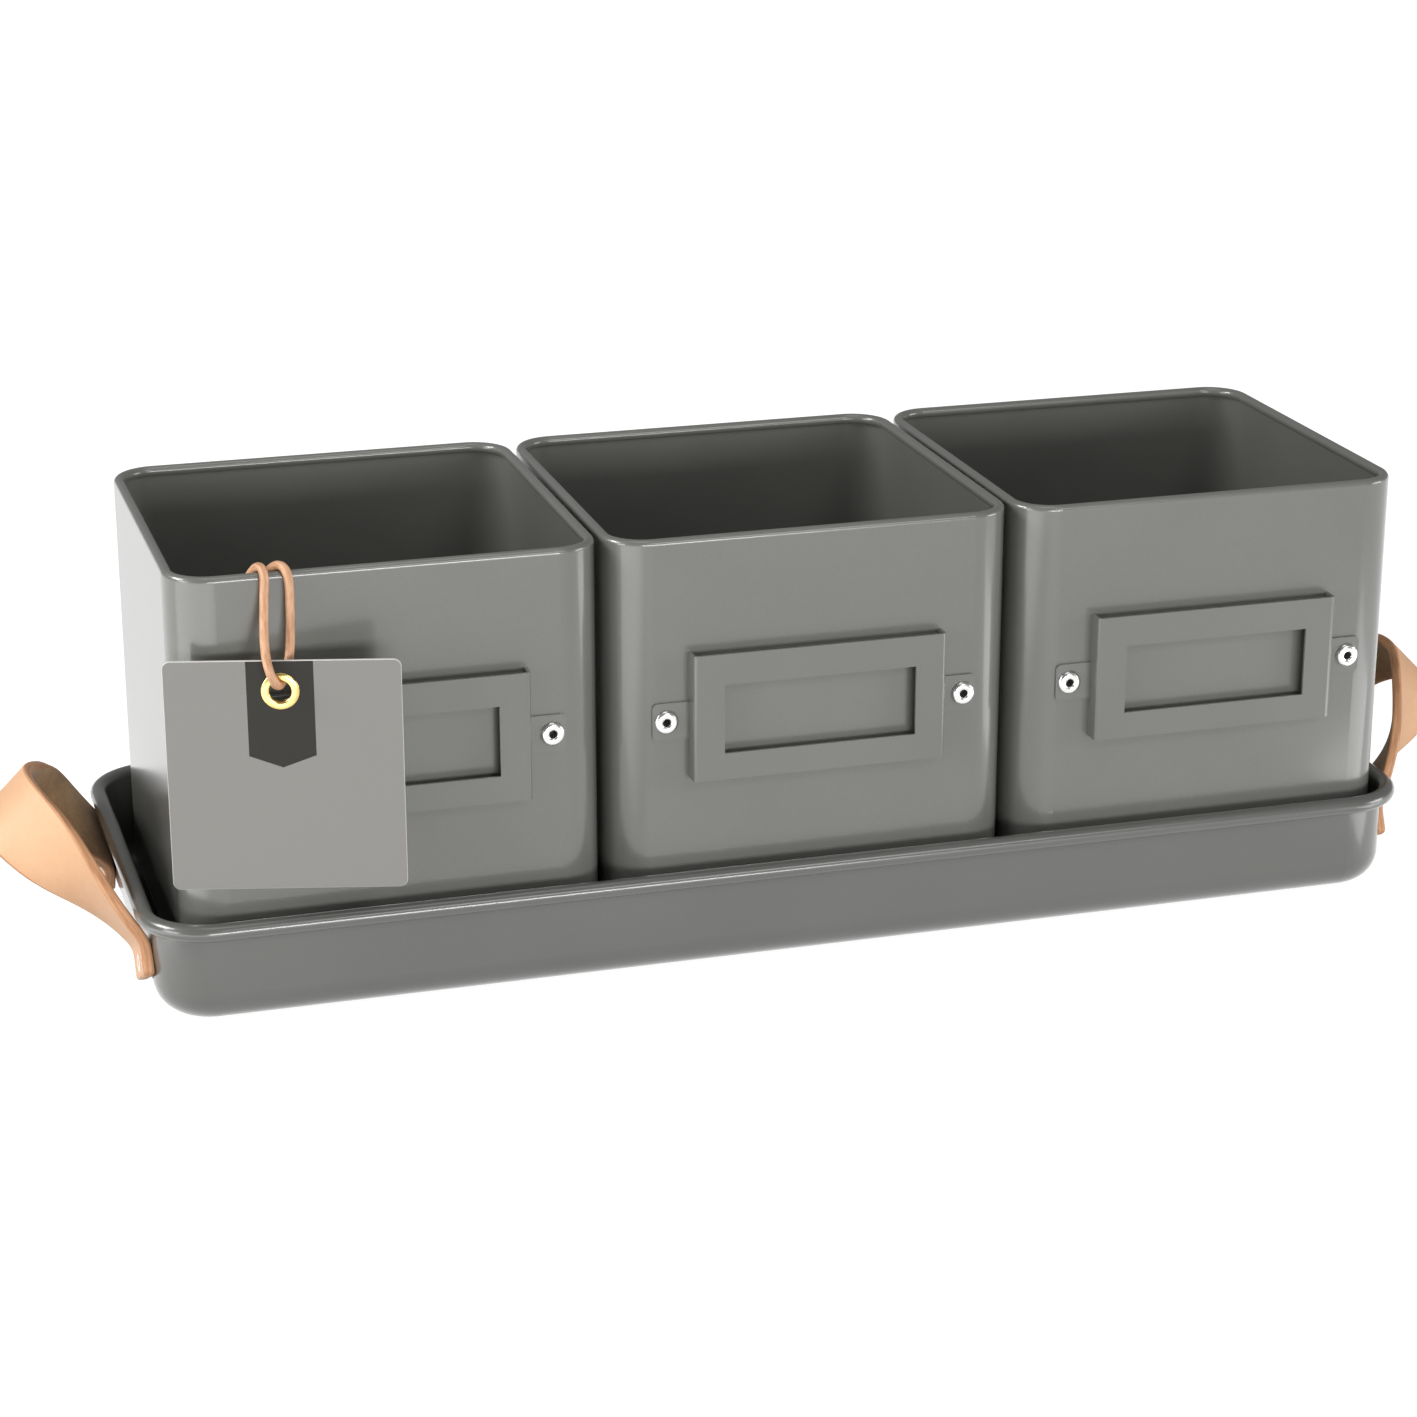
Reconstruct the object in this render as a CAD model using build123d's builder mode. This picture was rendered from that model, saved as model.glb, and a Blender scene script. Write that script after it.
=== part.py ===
from build123d import *
import math
import os

# Indoor herb planter: square sheet-steel pots in a pressed tray with a leather strap handle at each end.
# Millimetres. Origin under the middle of the tray. X runs along the row of pots, +Y to the back, +Z up.

# Tray
tray_sheet = 0.8
tray_height = 30.0  # to the top of the rolled rim
tray_bead_hollow = 3.2  # inside diameter of the outward roll
tray_corner = 15.0  # inside radius of the upright corners
tray_floor_radius = 8.0  # inside, between floor and wall
curl_opening = 35.0  # degrees of a rolled edge that stay open

# Pots
pot_side = 115.0  # outside, square in plan
pot_height = 121.5
pot_sheet = 0.8
pot_corner = 12.0  # outside radius of the upright corners
pot_rim_hollow = 1.4  # inside diameter of the inward curl round the mouth
pot_base_straight = 4.0  # upright part of the base pressing, above its round foot
pot_collar = 9.0  # collar of the base, inside the body
collar_clearance = 0.1
pot_names = ["left", "middle", "right"]

# Places of the pots in the tray
pot_gap = 1.5  # between neighbouring pots
left_gap = 7.0  # between the row and the tray wall
right_gap = 2.0
front_gap = 4.5  # the same at the back

# Label holders on the pot fronts
holder_margin = 21.5  # from the pot's side to the holder's side
holder_height = 35.6
holder_above_rim = 25.0  # from the tray's rim to the holder's foot
holder_depth = 5.2  # how far the front stands off the pot
holder_sheet = 0.8
holder_bend = 0.6  # inside radius of the folded sides
frame_side = 8.75  # border beside the window
frame_top = 8.6
frame_foot = 7.4
tab_length = 10.3
tab_height = 10.5
tab_corner = 1.5
tab_drop = 1.3  # below the holder's middle
label_sheet = 0.8
label_side_clearance = 0.3
label_wall_clearance = 0.2
label_top_clearance = 1.0  # the label ends this far below the holder's top

# Tubular rivets
rivet_head = 6.8
rivet_head_height = 1.4
rivet_shank = 4.0
rivet_bore = 2.4
rivet_clinch = 5.8
rivet_clinch_height = 0.7
rivet_clearance = 0.05
rivet_from_tab_end = 3.8

# Leather handles
strap_width = 20.5
strap_thickness = 3.0
strap_edge = 0.6  # rounding of the cut edges
strap_end_length = 9.0  # flat, riveted to the tray wall
strap_half_span = 38.0  # from the middle to where a leg leaves the wall
strap_leg_angle = 26.0  # the legs lean towards each other
strap_above_floor_bend = 6.7  # from the round of the tray's floor to where a leg leaves the wall
strap_bead_clearance = 0.74  # a leg leans out to pass the rolled rim at this distance
strap_clear_up = 2.2  # guide point of the leg, above the rim
strap_leg_rise = 22.0  # from where a leg leaves the wall to that guide point
strap_reach = 32.2  # from the tray wall to the top of the loop
strap_rise = 16.5  # from the rolled rim to the top of the loop
strap_top_pull = 20.0  # length of the flat top on each side of the middle
strap_lean = 45.0  # how far the top of the loop leans outwards
strap_twist_share = 0.85  # share of a leg over which the strap turns to that lean
strap_bend_share = 0.42  # share of a leg that bends when the loop is moved
strap_section_count = 6  # in each leg, for the bend and for the loop

# Cord of the hang tag
cord_diameter = 3.0
cord_rim_clearance = 0.4
cord_eyelet_gap = 1.1  # between the cord's turn and the eyelet's faces
cord_eyelet_play = 1.3  # round the cord in the eyelet
cord_knot_drop = 38.0  # from the pot's top to the knot
knot_diameter = 9.0
knot_height = 7.5
knot_wall_clearance = 0.3
cord_tail = 9.0  # loose ends under the knot

# Hang tag
tag_width = 61.0
tag_above_rim = 9.6  # from the tray's rim to the tag's lower edge
tag_sheet = 0.9
tag_corner = 2.0
tag_yaw = 14.2  # its right edge stands further out
tag_eyelet_from_top = 8.2
tag_eyelet_from_left = 29.9
tag_eyelet_out = 10.4  # from the pot's front to the eyelet
tag_eyelet_drop = 28.3  # from the pot's top to the eyelet
tag_eyelet_left = 31.4  # from the pot's middle
eyelet_lip = 2.2  # width of the flange
eyelet_sheet = 0.35
eyelet_clearance = 0.05

# Sizes that follow
tray_bead = tray_bead_hollow + 2 * tray_sheet
pot_rim_bead = pot_rim_hollow + 2 * pot_sheet
pot_foot_radius = tray_floor_radius
pot_base_wall = pot_foot_radius + pot_base_straight
pot_floor = tray_sheet
pot_top = pot_floor + pot_height
pot_front = -pot_side / 2
tray_inside_length = left_gap + 3 * pot_side + 2 * pot_gap + right_gap
tray_inside_width = pot_side + 2 * front_gap
tray_length = tray_inside_length + 2 * tray_sheet
tray_width = tray_inside_width + 2 * tray_sheet
tray_wall_x = tray_length / 2
bead_height = tray_height - tray_bead / 2
bead_x = (tray_inside_length + tray_bead) / 2
bead_y = (tray_inside_width + tray_bead) / 2
pot_pitch = pot_side + pot_gap
row_middle = (left_gap - right_gap) / 2
pot_x = {name: row_middle + (place - 1) * pot_pitch for place, name in enumerate(pot_names)}
holder_width = pot_side - 2 * holder_margin
window_width = holder_width - 2 * frame_side
window_height = holder_height - frame_top - frame_foot
holder_foot = tray_height + holder_above_rim - pot_floor  # above the pot's own floor
tab_middle = holder_foot + holder_height / 2 - tab_drop
rivet_x = holder_width / 2 + tab_length - rivet_from_tab_end
strap_slope = math.radians(strap_leg_angle)
strap_leave_height = tray_sheet + tray_floor_radius + strap_above_floor_bend
strap_top_of_end = strap_leave_height + strap_width / 2 * math.sin(strap_slope)
strap_rivet_y = strap_half_span + strap_end_length / 2 * math.sin(strap_slope)
strap_rivet_z = strap_leave_height - strap_end_length / 2 * math.cos(strap_slope)
tag_pot_x = pot_x["left"]
tag_top = pot_top - tag_eyelet_drop + tag_eyelet_from_top
tag_height = tag_top - tray_height - tag_above_rim
eyelet_hole = cord_diameter + 2 * cord_eyelet_play
eyelet_flange = eyelet_hole + 2 * eyelet_lip

os.makedirs("parts", exist_ok=True)


def save(piece, name):
    """Label a finished piece and write it."""
    piece.label = name
    export_step(piece, f"parts/{name}.step")


def rounded_loop(half_x, half_y, radius, height):
    """Closed path round a rectangle with round corners, from the middle of its front side."""
    with BuildLine(Plane.XY.offset(height)) as loop:
        corners = [(half_x, -half_y), (half_x, half_y), (-half_x, half_y), (-half_x, -half_y)]
        Polyline((0, -half_y), *corners)
        Line(corners[-1], (0, -half_y))
        fillet(loop.vertices().filter_by(lambda corner: abs(corner.X) > half_x / 2), radius)
    return loop.wire()


def rolled_edge(centre, bead, sheet, start_angle, sweep_angle):
    """Open C section of a rolled sheet edge, on the plane X = 0, round centre = (y, z)."""
    outside = bead / 2
    inside = bead / 2 - sheet
    with BuildSketch(Plane.YZ) as section:
        with BuildLine():
            outer = CenterArc(centre, outside, start_angle, sweep_angle)
            inner = CenterArc(centre, inside, start_angle, sweep_angle)
            Line(outer @ 0, inner @ 0)
            Line(outer @ 1, inner @ 1)
        make_face()
    return section.sketch


def tubular_rivet(grip):
    """Hollow rivet along Z: its head stands on Z = 0, and it is clinched under a grip of this thickness."""
    with BuildPart() as rivet:
        with BuildSketch():
            Circle(rivet_head / 2)
        extrude(amount=rivet_head_height)
        fillet(rivet.edges().sort_by(Axis.Z)[-1], 0.7 * rivet_head_height)
        with BuildSketch():
            Circle(rivet_shank / 2)
        extrude(amount=-grip)
        with BuildSketch(Plane.XY.offset(-grip)):
            Circle(rivet_clinch / 2)
        extrude(amount=-rivet_clinch_height)
        with BuildSketch(Plane.XY.offset(rivet_head_height)):
            Circle(rivet_bore / 2)
        extrude(amount=-(rivet_head_height + grip + rivet_clinch_height), mode=Mode.SUBTRACT)
    return rivet.part


# Tray: one pressing with an outward rolled rim
open_turn = 360 - curl_opening
with BuildPart() as tray_pan:
    with BuildSketch():
        RectangleRounded(tray_length, tray_width, tray_corner + tray_sheet)
    extrude(amount=bead_height)
    fillet(tray_pan.faces().sort_by(Axis.Z)[0].edges(), tray_floor_radius + tray_sheet)
    offset(amount=-tray_sheet, openings=tray_pan.faces().sort_by(Axis.Z)[-1])
    sweep(
        sections=rolled_edge((-bead_y, bead_height), tray_bead, tray_sheet, 0, open_turn),
        path=rounded_loop(bead_x, bead_y, tray_corner + tray_bead / 2, bead_height),
    )
    # Holes for the handle rivets
    with BuildSketch(Plane.YZ):
        with Locations((-strap_rivet_y, strap_rivet_z), (strap_rivet_y, strap_rivet_z)):
            Circle(rivet_shank / 2 + rivet_clearance)
    extrude(amount=tray_wall_x + tray_sheet, both=True, mode=Mode.SUBTRACT)
save(tray_pan.part, "tray_pan")

# Pot body: a wrapped wall with an inward curl round its mouth
rim_height = pot_height - pot_rim_bead / 2
rim_half = (pot_side - pot_rim_bead) / 2
with BuildPart() as pot_body:
    with BuildSketch(Plane.XY.offset(pot_base_wall)):
        RectangleRounded(pot_side, pot_side, pot_corner)
        offset(amount=-pot_sheet, mode=Mode.SUBTRACT)
    extrude(amount=rim_height - pot_base_wall)
    sweep(
        sections=rolled_edge((-rim_half, rim_height), pot_rim_bead, pot_sheet, 180, -open_turn),
        path=rounded_loop(rim_half, rim_half, pot_corner - pot_rim_bead / 2, rim_height),
    )
    # Holes for the label rivets
    with BuildSketch(Plane.XZ.offset(-pot_front)):
        with Locations((-rivet_x, tab_middle), (rivet_x, tab_middle)):
            Circle(rivet_shank / 2 + rivet_clearance)
    extrude(amount=-2 * pot_sheet, mode=Mode.SUBTRACT)

# Pot base: a pressed pan whose collar carries the body
with BuildPart() as pot_base:
    with BuildSketch():
        RectangleRounded(pot_side, pot_side, pot_corner)
    extrude(amount=pot_base_wall)
    fillet(pot_base.faces().sort_by(Axis.Z)[0].edges(), pot_foot_radius)
    with BuildSketch(Plane.XY.offset(pot_base_wall)):
        RectangleRounded(pot_side, pot_side, pot_corner)
        offset(amount=-(pot_sheet + collar_clearance), mode=Mode.REPLACE)
    extrude(amount=pot_collar)
    offset(amount=-pot_sheet, openings=pot_base.faces().sort_by(Axis.Z)[-1])

# Label holder: a folded frame, open at the top, with a riveted tab on each side
with BuildPart() as label_holder:
    with BuildSketch(Plane.XY.offset(holder_foot)):
        with Locations((0, pot_front - holder_depth / 2)):
            channel = Rectangle(holder_width, holder_depth)
        fillet(channel.vertices().group_by(Axis.Y)[0], holder_bend + holder_sheet)
    extrude(amount=holder_height)
    with BuildSketch(Plane.XY.offset(holder_foot + holder_sheet)):
        with Locations((0, pot_front - (holder_depth - holder_sheet) / 2)):
            hollow = Rectangle(holder_width - 2 * holder_sheet, holder_depth - holder_sheet)
        fillet(hollow.vertices().group_by(Axis.Y)[0], holder_bend)
    extrude(amount=holder_height, mode=Mode.SUBTRACT)
    with BuildSketch(Plane.XZ.offset(-pot_front + holder_depth)):
        with Locations((0, holder_foot + frame_foot + window_height / 2)):
            Rectangle(window_width, window_height)
    extrude(amount=-2 * holder_sheet, mode=Mode.SUBTRACT)
    with BuildSketch(Plane.XZ.offset(-pot_front)):
        for side in (-1, 1):
            with Locations((side * (holder_width + tab_length - holder_sheet) / 2, tab_middle)):
                RectangleRounded(tab_length + holder_sheet, tab_height, tab_corner)
        with Locations((-rivet_x, tab_middle), (rivet_x, tab_middle)):
            Circle(rivet_shank / 2 + rivet_clearance, mode=Mode.SUBTRACT)
    extrude(amount=holder_sheet)

# Label plate: stands on the holder's floor, just off the pot
with BuildPart() as label_plate:
    with BuildSketch(Plane.XZ.offset(-pot_front + label_wall_clearance)):
        with Locations((0, holder_foot + (holder_height + holder_sheet - label_top_clearance) / 2)):
            Rectangle(
                holder_width - 2 * holder_sheet - 2 * label_side_clearance,
                holder_height - holder_sheet - label_top_clearance,
            )
    extrude(amount=label_sheet)

# Label rivets: through the tab and the pot wall
label_rivet = tubular_rivet(holder_sheet + pot_sheet)
with BuildPart() as label_rivets:
    for side in (-1, 1):
        tab_face = (side * rivet_x, pot_front - holder_sheet, tab_middle)
        add(Plane(origin=tab_face, x_dir=(1, 0, 0), z_dir=(0, -1, 0)) * label_rivet)

pot_pieces = {
    "body": pot_body.part,
    "base": pot_base.part,
    "label_holder": label_holder.part,
    "label_plate": label_plate.part,
    "label_rivets": label_rivets.part,
}
for name in pot_names:
    for piece_name, piece in pot_pieces.items():
        save(Pos(pot_x[name], 0, pot_floor) * piece, f"pot_{name}_{piece_name}")

# Leather handle at the right end: the strap's line in its front half, and the way its width faces
leg_along = Vector(0, math.sin(strap_slope), math.cos(strap_slope))
leave_point = Vector(tray_wall_x + strap_thickness / 2, -strap_half_span, strap_leave_height)
bead_out = bead_x - tray_wall_x  # the rolled rim's centre, from the top of the flat end
bead_up = bead_height - strap_top_of_end
bead_room = tray_bead / 2 + strap_bead_clearance
leg_lean = math.atan2(bead_out, bead_up) + math.asin(bead_room / math.hypot(bead_out, bead_up))
guide_rise = tray_height + strap_clear_up - strap_leave_height
leg_guide = leave_point + Vector(
    guide_rise * math.tan(leg_lean), strap_leg_rise * math.sin(strap_slope), guide_rise
)
loop_top = Vector(tray_wall_x + strap_reach, 0, tray_height + strap_rise)
strap_line = Bezier(leave_point, leg_guide, loop_top - Vector(0, strap_top_pull, 0), loop_top)
strap_lean_angle = math.radians(strap_lean)
end_facing = Vector(0, -math.cos(strap_slope), math.sin(strap_slope))
top_facing = Vector(-math.cos(strap_lean_angle), 0, math.sin(strap_lean_angle))


def across(direction, along):
    """The part of a direction that is square to the strap's line."""
    return (direction - along * direction.dot(along)).normalized()


def strap_plane(share):
    """Plane of the strap's section: shares 0 to 1 run up the front leg, 1 to 2 down the back leg."""
    leg_share = min(share, 2 - share)
    origin = strap_line @ leg_share
    along = leg_along if leg_share == 0 else strap_line % leg_share
    turned = min(leg_share / strap_twist_share, 1)
    turned = turned * turned * (3 - 2 * turned)
    facing = across(end_facing * (1 - turned) + top_facing * turned, along)
    if share > 1:
        origin = Vector(origin.X, -origin.Y, origin.Z)
        along = Vector(-along.X, along.Y, -along.Z)
        facing = Vector(facing.X, -facing.Y, facing.Z)
    return Plane(origin=origin, x_dir=facing, z_dir=along)


def strap_stretch(first, last, sections):
    """Solid stretch of the strap between two shares of its length."""
    with BuildPart() as stretch:
        for place in range(sections + 1):
            with BuildSketch(strap_plane(first + (last - first) * place / sections)):
                RectangleRounded(strap_width, strap_thickness, strap_edge)
        loft()
    return stretch.part


handle_rivet = tubular_rivet(strap_thickness + tray_sheet)
with BuildPart() as strap_ends:
    with BuildSketch(strap_plane(0)):
        RectangleRounded(strap_width, strap_thickness, strap_edge)
    extrude(amount=-strap_end_length)
    with BuildSketch(Plane.YZ.offset(tray_wall_x)):
        with Locations((-strap_rivet_y, strap_rivet_z)):
            Circle(rivet_shank / 2 + rivet_clearance)
    extrude(amount=2 * strap_thickness, mode=Mode.SUBTRACT)
    mirror(about=Plane.XZ)
with BuildPart() as strap_bends:
    add(strap_stretch(0, strap_bend_share, strap_section_count))
    mirror(about=Plane.XZ)
with BuildPart() as strap_grip:
    add(strap_stretch(strap_bend_share, 2 - strap_bend_share, 2 * strap_section_count))
with BuildPart() as strap_rivets:
    for side in (-1, 1):
        strap_face = (tray_wall_x + strap_thickness, side * strap_rivet_y, strap_rivet_z)
        add(Plane(origin=strap_face, x_dir=(0, 1, 0), z_dir=(1, 0, 0)) * handle_rivet)

handle_pieces = {
    "ends": strap_ends.part,
    "bends": strap_bends.part,
    "grip": strap_grip.part,
    "rivets": strap_rivets.part,
}
for piece_name, piece in handle_pieces.items():
    save(piece, f"handle_right_{piece_name}")
    save(piece.mirror(Plane.YZ), f"handle_left_{piece_name}")

# Hang tag: a card with a brass eyelet, in front of the left pot
tag_turn = math.radians(tag_yaw)
tag_facing = Vector(-math.sin(tag_turn), -math.cos(tag_turn), 0)
eyelet_middle = Vector(tag_pot_x - tag_eyelet_left, pot_front - tag_eyelet_out, pot_top - tag_eyelet_drop)
tag_across = Vector(math.cos(tag_turn), -math.sin(tag_turn), 0)
tag_plane = Plane(origin=eyelet_middle, x_dir=tag_across, z_dir=tag_facing)
with BuildPart() as tag_card:
    with BuildSketch(tag_plane):
        with Locations((tag_width / 2 - tag_eyelet_from_left, tag_eyelet_from_top - tag_height / 2)):
            RectangleRounded(tag_width, tag_height, tag_corner)
        Circle(eyelet_hole / 2 + eyelet_sheet + eyelet_clearance, mode=Mode.SUBTRACT)
    extrude(amount=tag_sheet / 2, both=True)
save(tag_card.part, "tag_card")

with BuildPart() as tag_eyelet:
    with BuildSketch(tag_plane.offset(-tag_sheet / 2 - eyelet_sheet)):
        Circle(eyelet_flange / 2)
    extrude(amount=eyelet_sheet)
    with BuildSketch(tag_plane.offset(tag_sheet / 2)):
        Circle(eyelet_flange / 2)
    extrude(amount=eyelet_sheet)
    with BuildSketch(tag_plane):
        Circle(eyelet_hole / 2 + eyelet_sheet)
    extrude(amount=tag_sheet / 2, both=True)
    with BuildSketch(tag_plane):
        Circle(eyelet_hole / 2)
    extrude(amount=tag_sheet + eyelet_sheet, both=True, mode=Mode.SUBTRACT)
save(tag_eyelet.part, "tag_eyelet")

# Cord: from the knot over the rim, down through the eyelet, back over the rim and down to the knot
cord_front = pot_front - cord_diameter / 2 - cord_rim_clearance
cord_inside = pot_front + pot_rim_bead + cord_diameter / 2 + cord_rim_clearance
cord_over = pot_top + cord_diameter / 2 + cord_rim_clearance
knot_top = pot_top - cord_knot_drop
knot_y = pot_front + pot_sheet + knot_diameter / 2 + knot_wall_clearance
cord_eyelet_turn = cord_diameter / 2 + tag_sheet / 2 + eyelet_sheet + cord_eyelet_gap
front_turn = eyelet_middle + tag_facing * cord_eyelet_turn
back_turn = eyelet_middle - tag_facing * cord_eyelet_turn
cord_points = [
    (tag_pot_x - 39.6, knot_y, knot_top),
    (tag_pot_x - 39.6, knot_y, knot_top + 14.0),
    (tag_pot_x - 38.4, cord_inside + 0.3, knot_top + 27.0),
    (tag_pot_x - 36.4, cord_inside, cord_over),
    (tag_pot_x - 33.6, cord_front, cord_over),
    (tag_pot_x - 33.4, cord_front - 5.4, cord_over - 12.0),
    (front_turn.X, front_turn.Y - 0.2, front_turn.Z + 8.0),
    (front_turn.X, front_turn.Y, front_turn.Z),
    (back_turn.X, back_turn.Y, back_turn.Z),
    (back_turn.X + 0.9, back_turn.Y + 0.2, back_turn.Z + 8.0),
    (tag_pot_x - 27.4, cord_front - 2.4, cord_over - 12.0),
    (tag_pot_x - 27.2, cord_front, cord_over),
    (tag_pot_x - 31.6, cord_inside, cord_over),
    (tag_pot_x - 34.4, cord_inside + 0.3, knot_top + 27.0),
    (tag_pot_x - 35.8, knot_y, knot_top + 14.0),
    (tag_pot_x - 35.8, knot_y, knot_top),
]
route = [Vector(*point) for point in cord_points]
corner_radii = []
for before, corner, after in zip(route, route[1:], route[2:]):
    half_turn = math.radians((corner - before).get_angle(after - corner)) / 2
    shorter_run = min((corner - before).length, (after - corner).length)
    corner_radii.append(0.45 * shorter_run / math.tan(half_turn))
print("cord bend radii", [round(radius, 1) for radius in corner_radii])

with BuildPart() as tag_cord:
    with BuildLine() as cord_line:
        FilletPolyline(*route, radius=corner_radii)
    with BuildSketch(Plane(origin=cord_line.wire() @ 0, z_dir=cord_line.wire() % 0)):
        Circle(cord_diameter / 2)
    sweep(path=cord_line.wire())
cord_length = cord_line.wire().length
plain_volume = math.pi * cord_diameter**2 / 4 * cord_length
print("cord length", round(cord_length, 1))
print("cord volume over section times length", round(tag_cord.part.volume / plain_volume, 4))
save(tag_cord.part, "tag_cord")

# Knot that closes the loop, with its two loose ends
knot_middle = (route[0] + route[-1]) / 2
with BuildPart() as tag_cord_knot:
    with BuildSketch(Plane(origin=(knot_middle.X, knot_middle.Y, knot_top))):
        Circle(knot_diameter / 2)
    extrude(amount=-knot_height)
    fillet(tag_cord_knot.edges().filter_by(GeomType.CIRCLE), 0.35 * knot_height)
    with BuildSketch(Plane(origin=(knot_middle.X, knot_middle.Y, knot_top - knot_height))):
        with GridLocations(cord_diameter * 1.15, 0, 2, 1):
            Circle(cord_diameter / 2)
    extrude(amount=-cord_tail)
save(tag_cord_knot.part, "tag_cord_knot")
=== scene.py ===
import math

import bmesh
import bpy
from mathutils import Matrix, Vector


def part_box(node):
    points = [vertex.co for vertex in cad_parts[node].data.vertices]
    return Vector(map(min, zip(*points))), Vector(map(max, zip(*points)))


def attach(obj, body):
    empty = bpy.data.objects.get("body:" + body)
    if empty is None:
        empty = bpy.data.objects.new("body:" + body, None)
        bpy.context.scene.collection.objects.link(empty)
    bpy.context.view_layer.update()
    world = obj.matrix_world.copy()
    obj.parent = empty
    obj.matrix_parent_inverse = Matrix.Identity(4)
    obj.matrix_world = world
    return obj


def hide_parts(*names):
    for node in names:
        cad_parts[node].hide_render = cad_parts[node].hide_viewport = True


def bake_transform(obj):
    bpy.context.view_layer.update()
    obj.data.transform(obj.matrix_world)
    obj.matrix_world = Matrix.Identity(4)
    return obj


# Indoor herb planter: three powder-coated steel pots in a tray with leather strap handles and a hang tag.
# The frame is in metres, with X along the row of pots, +Y to the back and +Z up.
# Sizes here are in millimetres unless a comment says otherwise.

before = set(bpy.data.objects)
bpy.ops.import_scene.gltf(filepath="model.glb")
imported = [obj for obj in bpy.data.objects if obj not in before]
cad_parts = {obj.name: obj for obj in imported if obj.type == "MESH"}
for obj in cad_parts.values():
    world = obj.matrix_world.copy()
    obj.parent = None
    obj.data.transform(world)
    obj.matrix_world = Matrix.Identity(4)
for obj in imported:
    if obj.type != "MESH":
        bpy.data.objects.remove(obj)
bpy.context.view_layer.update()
scene = bpy.context.scene
scene.view_settings.view_transform = "Standard"
MM = 0.001
POTS = ("left", "middle", "right")
SIDES = (("left", -1), ("right", 1))


# Helpers for materials


def linear(hex_colour):
    """Linear RGBA of an sRGB hex colour."""
    shares = [int(hex_colour[i:i + 2], 16) / 255 for i in (1, 3, 5)]
    return (*[s / 12.92 if s <= 0.04045 else ((s + 0.055) / 1.055) ** 2.4 for s in shares], 1.0)


def empty_tree(owner):
    """The cleared node tree of a material or a world."""
    owner.use_nodes = True
    owner.node_tree.nodes.clear()
    return owner.node_tree


def add(tree, kind, inputs=None, **settings):
    """Add a node with its settings. An input takes a value, or the output socket that feeds it."""
    node = tree.nodes.new("ShaderNode" + kind)
    for name, value in settings.items():
        setattr(node, name, value)
    for name, value in (inputs or {}).items():
        if isinstance(value, bpy.types.NodeSocket):
            tree.links.new(value, node.inputs[name])
        else:
            node.inputs[name].default_value = value
    return node


def per_metre(size):
    """Scale of a texture whose features are this many millimetres apart."""
    return 1 / (size * MM)


# A Mix node has sockets for each type of data: these are the ones for colour
MIX_A = 6
MIX_B = 7
MIX_OUT = 2


# Helpers for shapes. A shape is its points in metres, its faces, and one UV pair for each point, or none
LATHE_SEGMENTS = 56  # faces round a turned piece


def mesh_piece(name, shape, materials, slots=None):
    """A smooth mesh object with its faces turned outwards. Slots gives each face its material's number."""
    points, faces, uvs = shape
    mesh = bpy.data.meshes.new(name)
    mesh.from_pydata([tuple(p) for p in points], [], faces)
    for material in materials:
        mesh.materials.append(material)
    if uvs:
        layer = mesh.uv_layers.new(name="UVMap")
        for loop in mesh.loops:
            layer.data[loop.index].uv = uvs[loop.vertex_index]
    if slots:
        mesh.polygons.foreach_set("material_index", slots)
    mesh.polygons.foreach_set("use_smooth", [True] * len(mesh.polygons))
    solid = bmesh.new()
    solid.from_mesh(mesh)
    bmesh.ops.recalc_face_normals(solid, faces=solid.faces)
    solid.to_mesh(mesh)
    solid.free()
    piece = bpy.data.objects.new(name, mesh)
    scene.collection.objects.link(piece)
    return piece


def merged(shapes):
    """Several shapes as one."""
    points, faces, uvs = [], [], []
    for more_points, more_faces, more_uvs in shapes:
        start = len(points)
        points += more_points
        faces += [tuple(v + start for v in face) for face in more_faces]
        uvs += more_uvs
    return points, faces, uvs


def ring_faces(ring, rings, closed=False):
    """Quads between rings of points. Closed joins the last ring to the first, or else the ends are capped."""
    faces = []
    for j in range(rings if closed else rings - 1):
        n = (j + 1) % rings
        for i in range(ring):
            k = (i + 1) % ring
            faces.append((j * ring + i, j * ring + k, n * ring + k, n * ring + i))
    if not closed:
        faces.append(tuple(range(ring)))
        faces.append(tuple(range((rings - 1) * ring, rings * ring)))
    return faces


def arc(centre, reach, rise, start, end, steps=5):
    """Points of an elliptical arc, from a start to an end angle in degrees."""
    turns = [math.radians(start + (end - start) * i / steps) for i in range(steps + 1)]
    return [(centre[0] + reach * math.cos(t), centre[1] + rise * math.sin(t)) for t in turns]


def lathe(profile, place):
    """A closed profile of (radius, height) pairs, turned round the Z axis of the matrix place."""
    points = []
    for radius, height in profile:
        for i in range(LATHE_SEGMENTS):
            turn = 2 * math.pi * i / LATHE_SEGMENTS
            points.append(place @ Vector((radius * math.cos(turn), radius * math.sin(turn), height)))
    return points, ring_faces(LATHE_SEGMENTS, len(profile), closed=True), []


def unit_across(direction, along):
    """The part of a direction that is square to along, at unit length."""
    return (direction - along * direction.dot(along)).normalized()


# Camera: the photograph's own view, from the front left and a little above. Its place is in metres
CAMERA_PLACE = (-0.27972, -0.89806, 0.3798)
CAMERA_FORWARD = Vector((0.27105, 0.90457, -0.32919))
CAMERA_LENS = 87.46
CAMERA_SENSOR = 36.0
camera = bpy.data.objects.new("camera", bpy.data.cameras.new("camera"))
camera.data.lens = CAMERA_LENS
camera.data.sensor_width = CAMERA_SENSOR
camera.location = CAMERA_PLACE
camera.rotation_euler = CAMERA_FORWARD.to_track_quat("-Z", "Y").to_euler()
scene.collection.objects.link(camera)
scene.camera = camera


# Materials


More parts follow.
